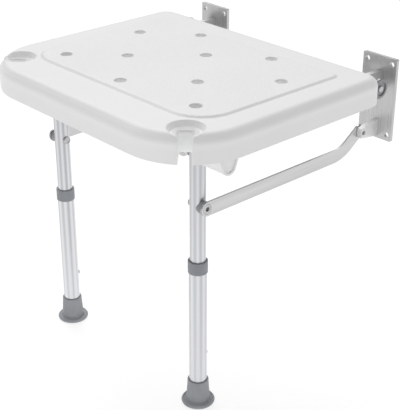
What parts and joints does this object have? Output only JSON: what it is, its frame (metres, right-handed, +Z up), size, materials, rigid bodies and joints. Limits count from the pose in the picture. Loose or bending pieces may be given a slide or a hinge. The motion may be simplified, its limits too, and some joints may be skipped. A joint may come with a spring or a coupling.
{
  "type": "fold-up wall-mounted shower seat",
  "caption": "Moulded shower seat with drain holes and corner cups, hinged to two wall plates, with telescopic front legs on struts that fold flat as the seat lifts.",
  "frame": {"origin": "on the wall face, midway between the two wall plates and level with the middle of their screw holes", "axes": "+X along the wall to the right as seen by a person who faces the wall, +Y into the wall, +Z up"},
  "size_m": [0.456, 0.429, 0.448],
  "materials": {
    "white_seat": "satin white polypropylene, with a fine pebbled panel",
    "anodised_tube": "satin anodised",
    "stainless": "brushed stainless",
    "bright_steel": "bright stainless fasteners",
    "grey_plastic": "satin blue-grey",
    "grey_rubber": "matt blue-grey",
    "pale_nylon": "natural nylon",
    "brass_insert": "turned"
  },
  "bodies": {
    "wall_fixings": {"right_wall_plate": "stainless", "left_wall_plate": "stainless", "right_hinge_lug": "stainless", "left_hinge_lug": "stainless", "right_strut_lug": "stainless", "left_strut_lug": "stainless", "hinge_bushes": "pale_nylon", "strut_pivot_pins": "bright_steel"},
    "seat": {"seat_board": "white_seat", "hinge_tube": "stainless", "hinge_caps": "grey_plastic", "cap_screws": "bright_steel", "saddle_screws": "bright_steel", "leg_pivot_bolts": "bright_steel", "leg_pivot_inserts": "brass_insert", "leg_pivot_washers": "pale_nylon", "leg_pivot_spacers": "pale_nylon"},
    "right_leg": {"right_upper_tube": "anodised_tube", "right_leg_plug": "pale_nylon", "right_strut_spacer": "grey_plastic", "right_strut_bolt": "bright_steel", "right_strut_nut": "bright_steel", "right_button_spring": "bright_steel"},
    "right_leg_end": {"right_lower_tube": "anodised_tube", "right_collar": "grey_plastic", "right_rubber_foot": "grey_rubber"},
    "right_button": {"right_snap_button": "bright_steel"},
    "right_strut_arm": {"right_strut": "stainless", "right_strut_bush": "pale_nylon"},
    "left_leg": {"left_upper_tube": "anodised_tube", "left_leg_plug": "pale_nylon", "left_strut_spacer": "grey_plastic", "left_strut_bolt": "bright_steel", "left_strut_nut": "bright_steel", "left_button_spring": "bright_steel"},
    "left_leg_end": {"left_lower_tube": "anodised_tube", "left_collar": "grey_plastic", "left_rubber_foot": "grey_rubber"},
    "left_button": {"left_snap_button": "bright_steel"},
    "left_strut_arm": {"left_strut": "stainless", "left_strut_bush": "pale_nylon"}
  },
  "joints": [
    {"name": "seat_fold", "type": "hinge", "parent": "wall_fixings", "child": "seat", "pos_m": [0, -0.0365, 0.0275], "axis": [-1, 0, 0], "range_deg": [0, 90]},
    {"name": "right_leg_fold", "type": "hinge", "parent": "seat", "child": "right_leg", "pos_m": [0.151, -0.336, 0.002], "axis": [1, 0, 0], "range_deg": [0, 90]},
    {"name": "right_strut_swing", "type": "hinge", "parent": "wall_fixings", "child": "right_strut_arm", "pos_m": [0.1685, -0.0365, -0.0465], "axis": [-1, 0, 0], "range_deg": [0, 90]},
    {"name": "right_leg_extend", "type": "slide", "parent": "right_leg", "child": "right_leg_end", "axis": [0, 0, -1], "range_m": [0, 0.12]},
    {"name": "right_button_press", "type": "slide", "parent": "right_leg", "child": "right_button", "axis": [0, -1, 0], "range_m": [0, 0.005], "stiffness_N_per_m": 600, "deforming": ["right_button_spring"]},
    {"name": "left_leg_fold", "type": "hinge", "parent": "seat", "child": "left_leg", "pos_m": [-0.151, -0.336, 0.002], "axis": [1, 0, 0], "range_deg": [0, 90]},
    {"name": "left_strut_swing", "type": "hinge", "parent": "wall_fixings", "child": "left_strut_arm", "pos_m": [-0.1685, -0.0365, -0.0465], "axis": [-1, 0, 0], "range_deg": [0, 90]},
    {"name": "left_leg_extend", "type": "slide", "parent": "left_leg", "child": "left_leg_end", "axis": [0, 0, -1], "range_m": [0, 0.12]},
    {"name": "left_button_press", "type": "slide", "parent": "left_leg", "child": "left_button", "axis": [0, -1, 0], "range_m": [0, 0.005], "stiffness_N_per_m": 600, "deforming": ["left_button_spring"]}
  ],
  "couplings": [
    {"joint": "right_leg_fold", "follows": "seat_fold", "ratio": 1},
    {"joint": "right_strut_swing", "follows": "seat_fold", "ratio": 1},
    {"joint": "left_leg_fold", "follows": "seat_fold", "ratio": 1},
    {"joint": "left_strut_swing", "follows": "seat_fold", "ratio": 1}
  ]
}
